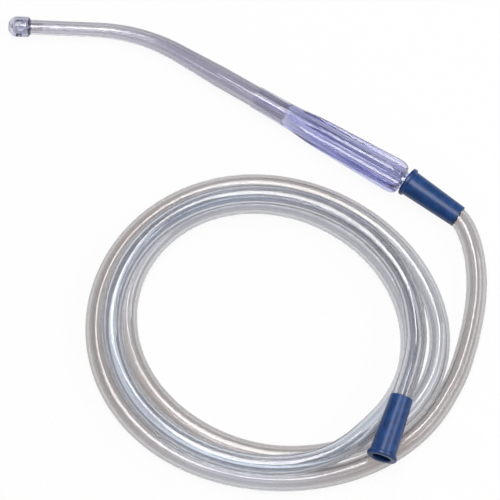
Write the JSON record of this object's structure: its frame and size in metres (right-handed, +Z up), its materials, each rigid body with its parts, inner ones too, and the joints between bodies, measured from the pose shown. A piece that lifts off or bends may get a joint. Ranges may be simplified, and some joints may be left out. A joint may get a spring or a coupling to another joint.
{
  "type": "yankauer suction tip",
  "caption": "Bent clear suction wand with a perforated bulb tip, a fluted grip and a long soft clear hose that lies in loose turns and ends in a navy female connector.",
  "frame": {"origin": "centre of the wand, grip and handle connector on the bench that they lie on, without the hose", "axes": "+X along the grip from the bulb towards the hose, +Y to the side away from the bend and the coil, +Z up from the bench"},
  "size_m": [0.3219, 0.2085, 0.0276],
  "materials": {
    "bulb_blue": "blue tinted clear rigid plastic, pale at the nose",
    "clear_wand": "clear rigid plastic with a faint violet tint, glossy",
    "violet_grip": "blue violet tinted clear rigid plastic, glossy, lengthwise flutes",
    "navy_connector": "soft navy plastic, smooth and glossy",
    "clear_hose": "clear soft hose, glossy, grey where light passes through it"
  },
  "bodies": {
    "root": {"suction_tip": "bulb_blue", "wand_tube": "clear_wand", "handle": "violet_grip", "handle_connector": "navy_connector", "hose_lead": "clear_hose", "hose_coil": "clear_hose", "hose_tail": "clear_hose", "far_connector": "navy_connector"}
  },
  "joints": []
}
